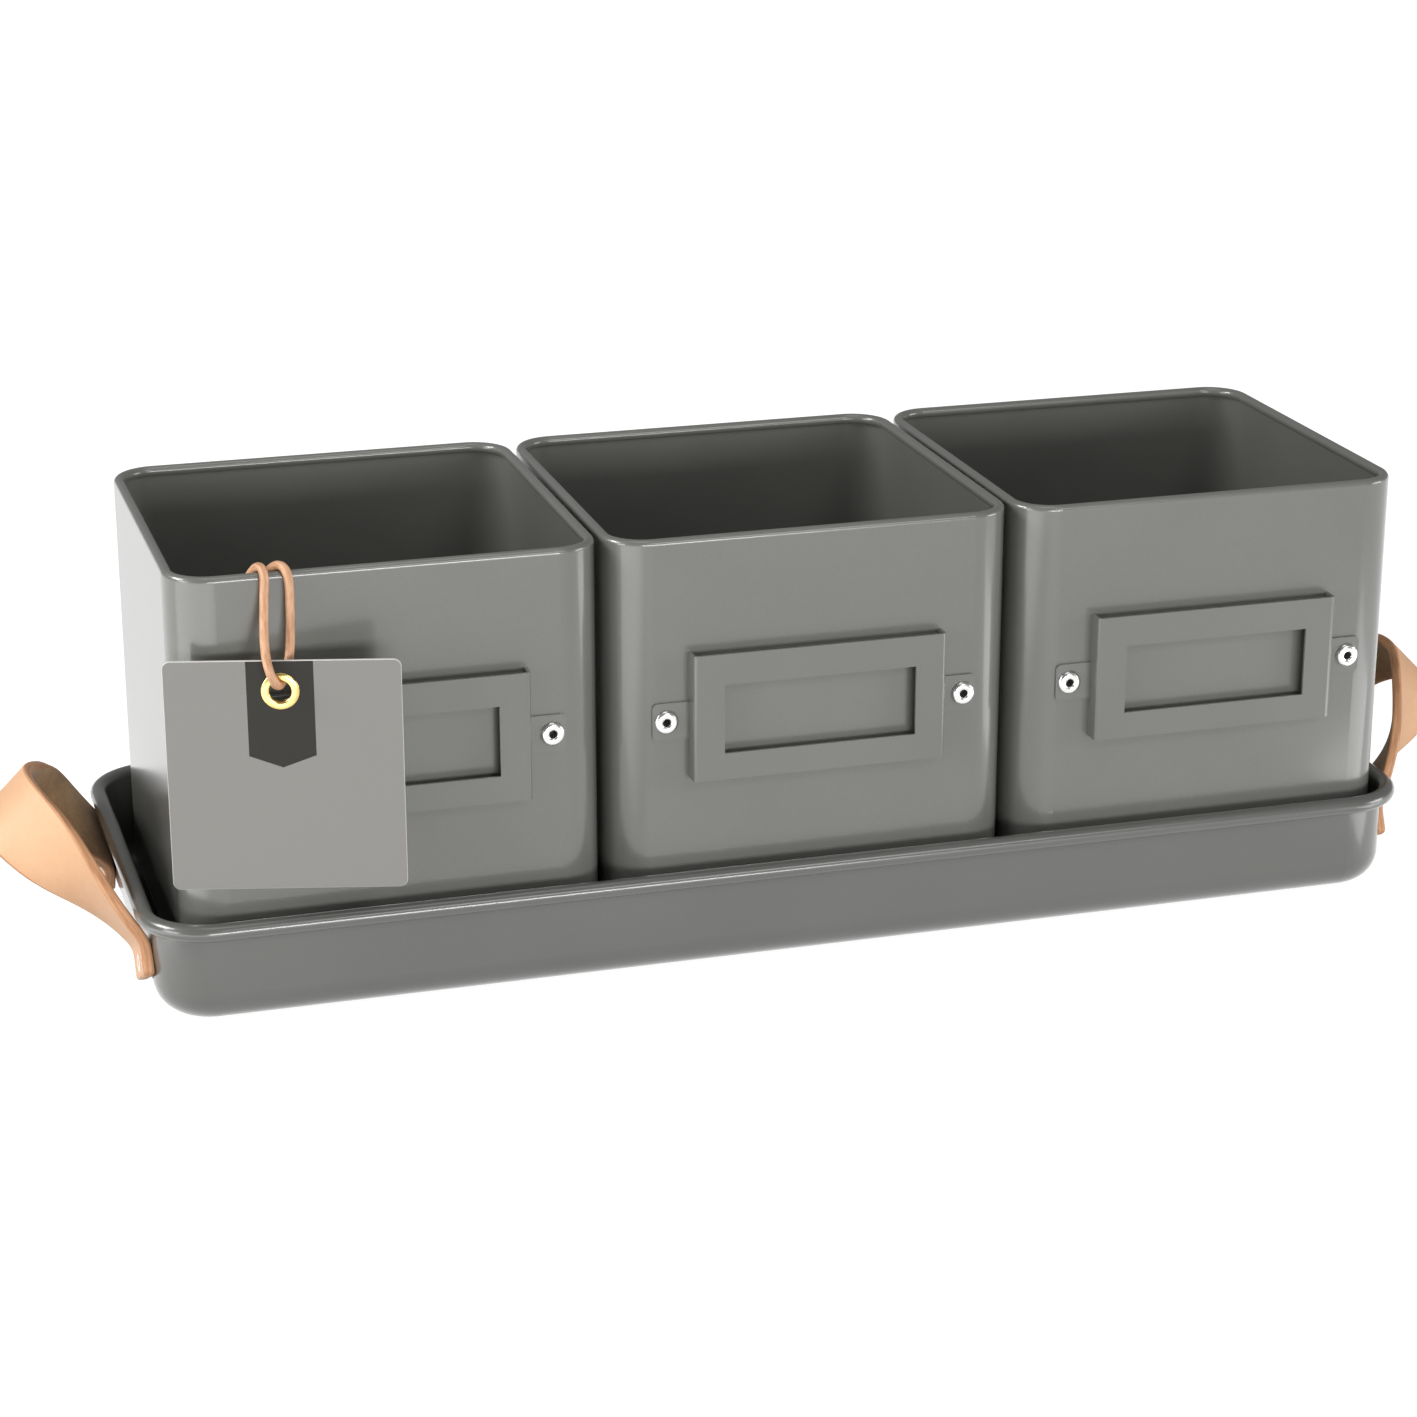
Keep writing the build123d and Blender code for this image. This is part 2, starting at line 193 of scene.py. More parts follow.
def powder_coat(name, dark, light):
    """Polyester powder coat on pressed steel, baked: even grey, satin gloss, a faint orange peel."""
    made = bpy.data.materials.new(name)
    tree = empty_tree(made)
    place = add(tree, "TexCoord").outputs["Object"]
    # The shade drifts by a percent or two where the coat is thicker
    drift = add(tree, "TexNoise", {"Vector": place, "Scale": per_metre(38), "Detail": 3.0}).outputs["Fac"]
    spread = add(tree, "MapRange", {"Value": drift, "From Min": 0.3, "From Max": 0.7}).outputs["Result"]
    coat = add(tree, "Mix", {"Factor": spread, MIX_A: linear(dark), MIX_B: linear(light)}, data_type="RGBA")
    # Pigment specks, drawn coarser than they are so that they show
    speck = add(tree, "TexNoise", {"Vector": place, "Scale": per_metre(0.55), "Detail": 2.0}).outputs["Fac"]
    grain = add(tree, "MapRange", {"Value": speck, "From Min": 0.3, "From Max": 0.7, "To Min": 0.97,
                                   "To Max": 1.03})
    tinted = add(tree, "Mix", {"Factor": 1.0, MIX_A: coat.outputs[MIX_OUT], MIX_B: grain.outputs["Result"]},
                 data_type="RGBA", blend_type="MULTIPLY")
    gloss = add(tree, "MapRange", {"Value": drift, "To Min": 0.30, "To Max": 0.36})
    # Orange peel: ripples about 1.6 mm apart, a few microns high
    peel = add(tree, "TexNoise", {"Vector": place, "Scale": per_metre(1.6), "Detail": 1.0})
    bump = add(tree, "Bump", {"Height": peel.outputs["Fac"], "Strength": 0.05, "Distance": 0.1 * MM})
    # The melted powder flows out to a clear skin over the pigment
    shader = add(tree, "BsdfPrincipled", {
        "Base Color": tinted.outputs[MIX_OUT], "Roughness": gloss.outputs["Result"],
        "Normal": bump.outputs["Normal"], "IOR": 1.5, "Coat Weight": 1.0, "Coat Roughness": 0.15,
        "Coat IOR": 1.5,
    })
    add(tree, "OutputMaterial", {"Surface": shader.outputs["BSDF"]})
    return made


def nickel_plate():
    """Nickel-plated steel, clinched: bright silver with fine handling scratches."""
    made = bpy.data.materials.new("nickel_plated_steel")
    tree = empty_tree(made)
    place = add(tree, "TexCoord").outputs["Object"]
    scuffs = add(tree, "TexNoise", {"Vector": place, "Scale": per_metre(0.7), "Detail": 5.0,
                                    "Roughness": 0.7}).outputs["Fac"]
    tone = add(tree, "Mix", {"Factor": scuffs, MIX_A: linear("#dcdcda"), MIX_B: linear("#f4f4f2")},
               data_type="RGBA")
    rough = add(tree, "MapRange", {"Value": scuffs, "To Min": 0.16, "To Max": 0.34})
    bump = add(tree, "Bump", {"Height": scuffs, "Strength": 0.08, "Distance": 0.05 * MM})
    shader = add(tree, "BsdfPrincipled", {
        "Base Color": tone.outputs[MIX_OUT], "Roughness": rough.outputs["Result"],
        "Normal": bump.outputs["Normal"], "Metallic": 1.0,
    })
    add(tree, "OutputMaterial", {"Surface": shader.outputs["BSDF"]})
    return made


def bore_painted_shade():
    """Inside of a tubular rivet: dull dark grey, a painted shade for the deep hole."""
    made = bpy.data.materials.new("rivet_bore_painted_shade")
    tree = empty_tree(made)
    place = add(tree, "TexCoord").outputs["Object"]
    film = add(tree, "TexNoise", {"Vector": place, "Scale": per_metre(0.5), "Detail": 3.0}).outputs["Fac"]
    tone = add(tree, "Mix", {"Factor": film, MIX_A: linear("#363634"), MIX_B: linear("#4a4a48")},
               data_type="RGBA")
    shader = add(tree, "BsdfPrincipled", {"Base Color": tone.outputs[MIX_OUT], "Roughness": 0.7,
                                          "Specular IOR Level": 0.3})
    add(tree, "OutputMaterial", {"Surface": shader.outputs["BSDF"]})
    return made


def brass_sheet():
    """Polished brass, rolled over the card: a warm yellow mirror, a little dulled where it is handled."""
    made = bpy.data.materials.new("polished_brass")
    tree = empty_tree(made)
    place = add(tree, "TexCoord").outputs["Object"]
    film = add(tree, "TexNoise", {"Vector": place, "Scale": per_metre(1.8), "Detail": 4.0}).outputs["Fac"]
    tone = add(tree, "Mix", {"Factor": film, MIX_A: linear("#d8b45f"), MIX_B: linear("#f4dd9a")},
               data_type="RGBA")
    rough = add(tree, "MapRange", {"Value": film, "To Min": 0.14, "To Max": 0.3})
    shader = add(tree, "BsdfPrincipled", {
        "Base Color": tone.outputs[MIX_OUT], "Roughness": rough.outputs["Result"], "Metallic": 1.0,
    })
    add(tree, "OutputMaterial", {"Surface": shader.outputs["BSDF"]})
    return made


def leather_grain():
    """Vegetable-tanned cowhide, grain side: pale tan and satin, with pores and fine creases."""
    made = bpy.data.materials.new("vegetable_tanned_grain")
    tree = empty_tree(made)
    place = add(tree, "UVMap", uv_map="UVMap").outputs["UV"]
    blotch = add(tree, "TexNoise", {"Vector": place, "Scale": per_metre(14), "Detail": 4.0}).outputs["Fac"]
    spread = add(tree, "MapRange", {"Value": blotch, "From Min": 0.3, "From Max": 0.7}).outputs["Result"]
    tone = add(tree, "Mix", {"Factor": spread, MIX_A: linear("#e1b087"), MIX_B: linear("#e7b890")},
               data_type="RGBA")
    creases = add(tree, "TexNoise", {"Vector": place, "Scale": per_metre(2.4), "Detail": 6.0,
                                     "Roughness": 0.65}).outputs["Fac"]
    # The colour is painted up to 4% darker where the creases lie low in the bump, a painted shade in the
    # creases
    shade = add(tree, "MapRange", {"Value": creases, "From Min": 0.3, "From Max": 0.7, "To Min": 0.96,
                                   "To Max": 1.03})
    shaded = add(tree, "Mix", {"Factor": 1.0, MIX_A: tone.outputs[MIX_OUT], MIX_B: shade.outputs["Result"]},
                 data_type="RGBA", blend_type="MULTIPLY")
    pores = add(tree, "TexVoronoi", {"Vector": place, "Scale": per_metre(0.75)}, feature="DISTANCE_TO_EDGE")
    cells = add(tree, "MapRange", {"Value": pores.outputs["Distance"], "From Max": 0.12})
    height = add(tree, "Math", {0: cells.outputs["Result"], 1: creases}, operation="MULTIPLY")
    bump = add(tree, "Bump", {"Height": height.outputs["Value"], "Strength": 0.22, "Distance": 0.12 * MM})
    rough = add(tree, "MapRange", {"Value": creases, "To Min": 0.42, "To Max": 0.6})
    shader = add(tree, "BsdfPrincipled", {
        "Base Color": shaded.outputs[MIX_OUT], "Roughness": rough.outputs["Result"],
        "Normal": bump.outputs["Normal"], "IOR": 1.45,
    })
    add(tree, "OutputMaterial", {"Surface": shader.outputs["BSDF"]})
    return made


def leather_flesh():
    """Flesh side of the same hide: browner, matt, a short felted nap."""
    made = bpy.data.materials.new("vegetable_tanned_flesh")
    tree = empty_tree(made)
    place = add(tree, "UVMap", uv_map="UVMap").outputs["UV"]
    nap = add(tree, "TexNoise", {"Vector": place, "Scale": per_metre(0.9), "Detail": 8.0, "Roughness": 0.75,
                                 "Distortion": 0.6}).outputs["Fac"]
    blotch = add(tree, "TexNoise", {"Vector": place, "Scale": per_metre(9), "Detail": 3.0}).outputs["Fac"]
    both = add(tree, "Math", {0: nap, 1: blotch}, operation="MULTIPLY").outputs["Value"]
    spread = add(tree, "MapRange", {"Value": both, "From Min": 0.12, "From Max": 0.42}).outputs["Result"]
    tone = add(tree, "Mix", {"Factor": spread, MIX_A: linear("#a0764b"), MIX_B: linear("#d0a573")},
               data_type="RGBA")
    bump = add(tree, "Bump", {"Height": nap, "Strength": 0.6, "Distance": 0.25 * MM})
    shader = add(tree, "BsdfPrincipled", {
        "Base Color": tone.outputs[MIX_OUT], "Roughness": 0.92, "Normal": bump.outputs["Normal"],
        "Sheen Weight": 0.25, "Sheen Roughness": 0.6,
    })
    add(tree, "OutputMaterial", {"Surface": shader.outputs["BSDF"]})
    return made


def leather_along(name, fibre, stretch, tones, detail, spread, bump_strength, gloss):
    """Hide with its fibres drawn out along the UV's first axis, its colour painted darker in the hollows
    between them as painted shade.
    """
    made = bpy.data.materials.new(name)
    tree = empty_tree(made)
    place = add(tree, "UVMap", uv_map="UVMap").outputs["UV"]
    drawn = add(tree, "Mapping", {"Vector": place, "Scale": (stretch, 1.0, 1.0)}).outputs["Vector"]
    fibres = add(tree, "TexNoise", {"Vector": drawn, "Scale": per_metre(fibre), **detail}).outputs["Fac"]
    share = add(tree, "MapRange", {"Value": fibres, "From Min": spread[0], "From Max": spread[1]})
    tone = add(tree, "Mix", {"Factor": share.outputs["Result"], MIX_A: linear(tones[0]),
                             MIX_B: linear(tones[1])}, data_type="RGBA")
    bump = add(tree, "Bump", {"Height": fibres, "Strength": bump_strength, "Distance": 0.15 * MM})
    shader = add(tree, "BsdfPrincipled", {
        "Base Color": tone.outputs[MIX_OUT], "Normal": bump.outputs["Normal"], **gloss,
    })
    add(tree, "OutputMaterial", {"Surface": shader.outputs["BSDF"]})
    return made


def card_print(pennant_half, pennant_top, pennant_foot, pennant_slope):
    """Laminated card, printed: mid grey, dull satin, with a dark pennant printed down from the top edge."""
    made = bpy.data.materials.new("printed_card")
    tree = empty_tree(made)
    place = add(tree, "UVMap", uv_map="UVMap").outputs["UV"]
    sides = add(tree, "SeparateXYZ", {"Vector": place})
    across = add(tree, "Math", {0: sides.outputs["X"]}, operation="ABSOLUTE").outputs["Value"]
    # The pennant's lower edge comes to a shallow point in the middle
    edge = add(tree, "Math", {0: across, 1: pennant_slope, 2: pennant_foot}, operation="MULTIPLY_ADD")
    mask = add(tree, "Math", {0: across, 1: pennant_half}, operation="LESS_THAN").outputs["Value"]
    for limit, test in ((edge.outputs["Value"], "GREATER_THAN"), (pennant_top, "LESS_THAN")):
        within = add(tree, "Math", {0: sides.outputs["Y"], 1: limit}, operation=test)
        mask = add(tree, "Math", {0: mask, 1: within.outputs["Value"]}, operation="MULTIPLY").outputs["Value"]
    fibres = add(tree, "TexNoise", {"Vector": place, "Scale": per_metre(0.6), "Detail": 6.0,
                                    "Roughness": 0.7}).outputs["Fac"]
    grey = add(tree, "Mix", {"Factor": fibres, MIX_A: linear("#918f8b"), MIX_B: linear("#999793")},
               data_type="RGBA")
    dark = add(tree, "Mix", {"Factor": fibres, MIX_A: linear("#2b2a26"), MIX_B: linear("#32312d")},
               data_type="RGBA")
    ink = add(tree, "Mix", {"Factor": mask, MIX_A: grey.outputs[MIX_OUT], MIX_B: dark.outputs[MIX_OUT]},
              data_type="RGBA")
    bump = add(tree, "Bump", {"Height": fibres, "Strength": 0.06, "Distance": 0.05 * MM})
    shader = add(tree, "BsdfPrincipled", {
        "Base Color": ink.outputs[MIX_OUT], "Roughness": 0.6, "Normal": bump.outputs["Normal"],
        "Specular IOR Level": 0.25,
    })
    add(tree, "OutputMaterial", {"Surface": shader.outputs["BSDF"]})
    return made


def card_core():
    """Cut edge of the card: the unprinted white board inside, with fine layers."""
    made = bpy.data.materials.new("card_core")
    tree = empty_tree(made)
    place = add(tree, "TexCoord").outputs["Object"]
    layers = add(tree, "TexNoise", {"Vector": place, "Scale": per_metre(0.5), "Detail": 5.0}).outputs["Fac"]
    tone = add(tree, "Mix", {"Factor": layers, MIX_A: linear("#c9c8c4"), MIX_B: linear("#e6e5e1")},
               data_type="RGBA")
    shader = add(tree, "BsdfPrincipled", {"Base Color": tone.outputs[MIX_OUT], "Roughness": 0.85})
    add(tree, "OutputMaterial", {"Surface": shader.outputs["BSDF"]})
    return made


POT_PAINT = powder_coat("powder_coated_pot", "#6b6c67", "#6f706b")
# The tray wears the pots' own paint: its darker copy of the coat is painted shade for the weaker light low
# down by the floor
TRAY_PAINT_SHADED = powder_coat("powder_coated_tray_painted_shade", "#5a5b57", "#5e5f5b")
NICKEL = nickel_plate()
BORE = bore_painted_shade()
BRASS = brass_sheet()
GRAIN = leather_grain()
FLESH = leather_flesh()
# Cut edge of the hide, rubbed smooth: its layers show as lines along the strap, painted darker in the bump's
# hollows as painted shade
EDGE = leather_along("burnished_leather_edge", fibre=0.7, stretch=0.06, tones=("#b0764e", "#dba67c"),
                     detail={"Detail": 5.0, "Roughness": 0.7}, spread=(0.34, 0.62), bump_strength=0.4,
                     gloss={"Roughness": 0.55})
# Round leather cord, dyed through and waxed: tan, with fine cracks along it that are painted darker as
# painted shade
CORD = leather_along("round_leather_cord", fibre=0.8, stretch=0.18, tones=("#b98560", "#e6b590"),
                     detail={"Detail": 6.0, "Roughness": 0.65}, spread=(0.32, 0.6), bump_strength=0.35,
                     gloss={"Roughness": 0.42, "IOR": 1.45})
CORE = card_core()


# Painted sheet steel keeps its CAD shape. The shears leave a fine round on the cut edges of the label sheets
SHEARED_EDGE = 0.25
SHEARED_STEPS = 2
SHEARED_ANGLE = math.radians(50)  # only edges sharper than this are rounded

paint_of = {"tray_pan": TRAY_PAINT_SHADED}
for pot in POTS:
    for part in ("body", "base", "label_holder", "label_plate"):
        paint_of[f"pot_{pot}_{part}"] = POT_PAINT
for name, paint in paint_of.items():
    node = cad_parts[name]
    node.data.materials.clear()
    node.data.materials.append(paint)
    if "label" in name:
        bevel = node.modifiers.new("sheared_edges", "BEVEL")
        bevel.width = SHEARED_EDGE * MM
        bevel.segments = SHEARED_STEPS
        bevel.limit_method = "ANGLE"
        bevel.angle_limit = SHEARED_ANGLE


# Tubular rivets: radii and heights of their turned profile. Heights in the head are shares of its rise
RIVET_HEAD = 3.4
RIVET_CREST = 2.05  # where the dome is highest
RIVET_LIP = 1.05  # edge of the hole
RIVET_LIP_DEPTH = 0.46
RIVET_BRIM = 0.1  # rounding of the head's edge
RIVET_BORE = 0.85
RIVET_BORE_TOP = -0.9
RIVET_FUNNEL = (1.0, -0.75)  # radius and height where the hole narrows towards the bore
RIVET_SHANK = 2.0
RIVET_CLINCH = 2.88  # outside of the clinched tail
RIVET_ROLL = 0.34  # rounding of the tail's edge
RIVET_TAIL_ROUND = 0.55  # rounding where the tail turns into the bore
RIVET_STANDS_OUT = 1.4  # height of the CAD heads
RIVET_BORE_RINGS = 3  # rings of faces in the bore: two before the head and the last one
# The handles' rivets lie almost flush in the leather, the labels' stand proud of the tabs
HANDLE_RIVET = {"grip": 3.3, "rise": 0.7, "sunk": 0.6}
LABEL_RIVET = {"grip": 1.6, "rise": 1.4, "sunk": 0.0}


def rivet_profile(grip, rise):
    """A domed head with the bore's lip rolled in, and the tail clinched back under the grip."""
    head = arc((RIVET_CREST, 1 - RIVET_LIP_DEPTH), RIVET_CREST - RIVET_LIP, RIVET_LIP_DEPTH, 180, 90)
    head += arc((RIVET_CREST, RIVET_BRIM), RIVET_HEAD - RIVET_CREST, 1 - RIVET_BRIM, 90, 0, steps=8)[1:]
    head += arc((RIVET_HEAD - RIVET_BRIM, RIVET_BRIM), RIVET_BRIM, RIVET_BRIM, 0, -90, steps=3)[1:]
    roll = (RIVET_CLINCH - RIVET_ROLL, -grip - RIVET_ROLL)
    foot = -grip - 2 * RIVET_ROLL
    tail = arc(roll, RIVET_ROLL, RIVET_ROLL, 90, -90, steps=8)
    tail += arc((RIVET_BORE + RIVET_TAIL_ROUND, foot + RIVET_TAIL_ROUND), RIVET_TAIL_ROUND, RIVET_TAIL_ROUND,
                -90, -180)
    profile = [(RIVET_BORE, RIVET_BORE_TOP), RIVET_FUNNEL]
    profile += [(radius, height * rise) for radius, height in head]
    profile += [(RIVET_SHANK, 0), (RIVET_SHANK, -grip)]
    return profile + tail


def rivet_pair(node_name, body, outward, grip, rise, sunk):
    """The two rivets of a node, with their heads on its outer side."""
    low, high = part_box(node_name)
    depth, along = (0, 1) if outward[0] else (1, 0)
    sign = outward[depth]
    seat = (low + high) / 2
    seat[depth] = (high if sign > 0 else low)[depth] - sign * (RIVET_STANDS_OUT + sunk) * MM
    turn = Vector(outward).to_track_quat("Z", "X").to_matrix().to_4x4()
    profile = rivet_profile(grip, rise)
    shapes = []
    for edge, inward in ((low, 1), (high, -1)):
        seat[along] = edge[along] + inward * RIVET_HEAD * MM
        place = Matrix.Translation(seat) @ turn @ Matrix.Scale(MM, 4)
        shapes.append(lathe(profile, place))
    # The bore's faces take the dark painted shade of the hole, the rest is nickel
    plated = [0] * (len(profile) - RIVET_BORE_RINGS)
    slots = [slot for slot in [1, 1, *plated, 1] for _ in range(LATHE_SEGMENTS)]
    piece = mesh_piece(f"{node_name}_turned", merged(shapes), [NICKEL, BORE], slots * len(shapes))
    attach(piece, body)
    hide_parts(node_name)


for side, side_x in SIDES:
    rivet_pair(f"handle_{side}_rivets", "tray", (side_x, 0, 0), **HANDLE_RIVET)
for pot in POTS:
    rivet_pair(f"pot_{pot}_label_rivets", f"pot_{pot}", (0, -1, 0), **LABEL_RIVET)


# Leather handles: one strap each, riveted flat to the tray's end and looped up and out over its rim
STRAP_WIDTH = 20.5
STRAP_THICKNESS = 3.0
STRAP_EDGE = 0.75  # rounding of the cut edges
STRAP_TIP_ROUND = 2.0  # rounding of the tips' corners
STRAP_TIP_SKIVE = 0.35  # share of the thickness taken off the tips' edges
STRAP_END = 9.0  # flat end, below where a leg leaves the wall
STRAP_HALF_SPAN = 38.0  # from the middle to where a leg leaves the wall
STRAP_LEAVE = 15.5  # height of that place
STRAP_GUIDE = (192.8, -28.36, 32.2)  # guide point of a leg, beside the rolled rim
STRAP_REACH = 32.2  # from the wall to the top of the loop
STRAP_TOP = 46.5  # height of the loop's middle
STRAP_TOP_PULL = 20.0  # how far each side of the middle the top is drawn out flat
STRAP_LEG_ANGLE = math.radians(26)  # tilt of the legs on the wall
STRAP_LEAN = math.radians(45)  # slant of the strap's width at the loop's middle
STRAP_TWIST = 0.85  # share of a leg over which the strap turns to that slant
STRAP_END_STEPS = 18  # points along a flat end
STRAP_LEG_STEPS = 160  # points along a leg
STRAP_EASING = 40  # passes that ease the line
STRAP_COLUMNS = 14  # faces across the hide
GRAIN_SIDE, CUT_EDGE, FLESH_SIDE = 0, 1, 2


def strap_section():
    """Round-edged section as (across, out, which side of the hide)."""
    flat = STRAP_WIDTH / 2 - STRAP_EDGE
    deep = STRAP_THICKNESS / 2 - STRAP_EDGE
    columns = [flat * (2 * i / STRAP_COLUMNS - 1) for i in range(STRAP_COLUMNS + 1)]
    half = [(across, STRAP_THICKNESS / 2, GRAIN_SIDE) for across in columns]
    upper = arc((flat, deep), STRAP_EDGE, STRAP_EDGE, 90, 0, steps=4)[1:]
    lower = arc((flat, -deep), STRAP_EDGE, STRAP_EDGE, 0, -90, steps=4)[:-1]
    half += [(across, out, CUT_EDGE) for across, out in upper + [(flat + STRAP_EDGE, 0.0)] + lower]
    other = {GRAIN_SIDE: FLESH_SIDE, CUT_EDGE: CUT_EDGE}
    return half + [(-across, -out, other[side]) for across, out, side in half]


def strap_line(wall):
    """Middle line of the right strap from tip to tip, with each point's share of the way up its leg."""
    leg = Vector((0, math.sin(STRAP_LEG_ANGLE), math.cos(STRAP_LEG_ANGLE)))
    leave = Vector((wall + STRAP_THICKNESS / 2, -STRAP_HALF_SPAN, STRAP_LEAVE))
    guide = Vector(STRAP_GUIDE)
    top = Vector((wall + STRAP_REACH, 0, STRAP_TOP))
    pull = top - Vector((0, STRAP_TOP_PULL, 0))
    step = STRAP_END / STRAP_END_STEPS
    front = [(leave + leg * (step * i - STRAP_END), 0.0) for i in range(STRAP_END_STEPS)]
    for i in range(STRAP_LEG_STEPS + 1):
        t = i / STRAP_LEG_STEPS
        s = 1 - t
        front.append((leave * s ** 3 + guide * 3 * t * s ** 2 + pull * 3 * t ** 2 * s + top * t ** 3, t))
    whole = front + [(Vector((p.x, -p.y, p.z)), t) for p, t in front[-2::-1]]
    # Thick hide can't fold sharply where it leaves the wall, so the line is eased
    points = [p for p, t in whole]
    for _ in range(STRAP_EASING):
        eased = [(a + b * 2 + c) / 4 for a, b, c in zip(points, points[1:], points[2:])]
        points = [points[0], *eased, points[-1]]
    return points, [t for p, t in whole]


def strap(side, side_x):
    """One handle strap from tip to tip. The left one is the right one's mirror image."""
    ends_low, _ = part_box("handle_right_ends")
    wall = ends_low.x / MM
    line, shares = strap_line(wall)
    section = strap_section()
    lengths = [0.0]
    for a, b in zip(line, line[1:]):
        lengths.append(lengths[-1] + (b - a).length)
    top_facing = Vector((-math.cos(STRAP_LEAN), 0, math.sin(STRAP_LEAN)))
    points, uvs = [], []
    for i, (point, share, length) in enumerate(zip(line, shares, lengths)):
        along = (line[min(i + 1, len(line) - 1)] - line[max(i - 1, 0)]).normalized()
        # The strap lies flat on the wall at its ends and turns to a slant at its top
        end_y = math.copysign(math.cos(STRAP_LEG_ANGLE), point.y)
        end_facing = Vector((0, end_y, math.sin(STRAP_LEG_ANGLE)))
        turned = min(share / STRAP_TWIST, 1)
        turned = turned * turned * (3 - 2 * turned)
        width = unit_across(end_facing * (1 - turned) + top_facing * turned, along)
        out = along.cross(width)
        tip = min(length, lengths[-1] - length)
        corner = max(STRAP_TIP_ROUND - tip, 0)
        pinch = STRAP_TIP_ROUND - math.sqrt(STRAP_TIP_ROUND ** 2 - corner ** 2)
        narrow = 1 - pinch / (STRAP_WIDTH / 2)
        thin = 1 - STRAP_TIP_SKIVE * max(1 - tip / STRAP_EDGE, 0) ** 2
        for across, height, part in section:
            place = point + width * across * narrow + out * height * thin
            points.append(Vector((side_x * place.x, place.y, place.z)) * MM)
            uvs.append((length * MM, (height if part == CUT_EDGE else across) * MM))
    faces = ring_faces(len(section), len(line))
    slots = []
    for face in faces:
        parts = {section[v % len(section)][2] for v in face}
        slots.append(parts.pop() if len(parts) == 1 else CUT_EDGE)
    piece = mesh_piece(f"handle_{side}_strap", (points, faces, uvs), [GRAIN, EDGE, FLESH], slots)
    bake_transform(piece)
    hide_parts(f"handle_{side}_ends", f"handle_{side}_bends", f"handle_{side}_grip")


for side, side_x in SIDES:
    strap(side, side_x)


# Hang tag: a laminated card with a brass eyelet. Its sizes are from the eyelet's middle
TAG_YAW = math.radians(14.2)  # turn of the card about the upright
TAG_LEFT = -29.9
TAG_RIGHT = 31.1
TAG_SHEET = 0.9  # thickness
TAG_CORNER = 2.0
TAG_BEVEL = 0.12
TAG_BACK = -0.5  # faces whose normal points further back than this are the card's back
TAG_PLAIN_SHIFT = 500.0  # the back's UVs lie this far from the print, so the back stays plain
PENNANT_HALF = 8.65  # half its width
PENNANT_DROP = 29.0  # from the card's top to its tip
PENNANT_POINT = 3.2  # height of the tip
EYELET_HOLE = 2.8  # radius
EYELET_BARREL = 0.4  # wall
EYELET_ROLL = 0.6  # rounding of the hole's edge
EYELET_FLANGE = 2.2  # width
EYELET_BRIM = 0.04  # height of the flange's edge

eyelet_low, eyelet_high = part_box("tag_eyelet")
eyelet_middle = (eyelet_low + eyelet_high) / 2
card_low, card_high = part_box("tag_card")
tag_top = (card_high.z - eyelet_middle.z) / MM
tag_foot = (card_low.z - eyelet_middle.z) / MM
tag_across = Vector((math.cos(TAG_YAW), -math.sin(TAG_YAW), 0))
tag_up = Vector((0, 0, 1))
tag_turn = Matrix((tag_across, tag_up, tag_across.cross(tag_up))).transposed().to_4x4()
tag_place = Matrix.Translation(eyelet_middle) @ tag_turn @ Matrix.Scale(MM, 4)


def card_outline(inset):
    """Outline of the card with round corners, anticlockwise."""
    left, right = TAG_LEFT + TAG_CORNER, TAG_RIGHT - TAG_CORNER
    foot, top = tag_foot + TAG_CORNER, tag_top - TAG_CORNER
    radius = TAG_CORNER - inset
    outline = []
    for x, y, start in ((right, foot, -90), (right, top, 0), (left, top, 90), (left, foot, 180)):
        outline += arc((x, y), radius, radius, start, start + 90, steps=6)
    return outline


def tag_card():
    """The card: printed faces, bare cut edges, and a punched hole for the eyelet."""
    half = TAG_SHEET / 2
    printed = card_print(PENNANT_HALF * MM, tag_top * MM, (tag_top - PENNANT_DROP) * MM,
                         PENNANT_POINT / PENNANT_HALF)
    card = bmesh.new()
    uv_layer = card.loops.layers.uv.new("UVMap")
    steps = ((half, TAG_BEVEL), (half - TAG_BEVEL, 0), (TAG_BEVEL - half, 0), (-half, TAG_BEVEL))
    rims = [[card.verts.new((x, y, z)) for x, y in card_outline(inset)] for z, inset in steps]
    hole = EYELET_HOLE + EYELET_BARREL
    punched = arc((0, 0), hole, hole, 0, 360, steps=48)[:-1]
    bores = [[card.verts.new((x, y, z)) for x, y in punched] for z in (half, -half)]
    for rings in (rims, bores):
        for upper, lower in zip(rings, rings[1:]):
            for i in range(len(upper)):
                k = (i + 1) % len(upper)
                card.faces.new((upper[i], lower[i], lower[k], upper[k])).material_index = 1
    for z, rim, bore in ((1, rims[0], bores[0]), (-1, rims[-1], bores[-1])):
        edges = [card.edges.get((ring[i - 1], ring[i])) for ring in (rim, bore) for i in range(len(ring))]
        bmesh.ops.triangle_fill(card, edges=edges, use_beauty=True, normal=(0, 0, z))
    bmesh.ops.recalc_face_normals(card, faces=card.faces)
    for face in card.faces:
        shift = TAG_PLAIN_SHIFT if face.normal.z < TAG_BACK else 0
        for loop in face.loops:
            loop[uv_layer].uv = ((loop.vert.co.x + shift) * MM, loop.vert.co.y * MM)
    card.transform(tag_place)
    mesh = bpy.data.meshes.new("tag_card_printed")
    card.to_mesh(mesh)
    card.free()
    mesh.materials.append(printed)
    mesh.materials.append(CORE)
    piece = bpy.data.objects.new("tag_card_printed", mesh)
    scene.collection.objects.link(piece)
    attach(piece, "tag")
    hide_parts("tag_card")


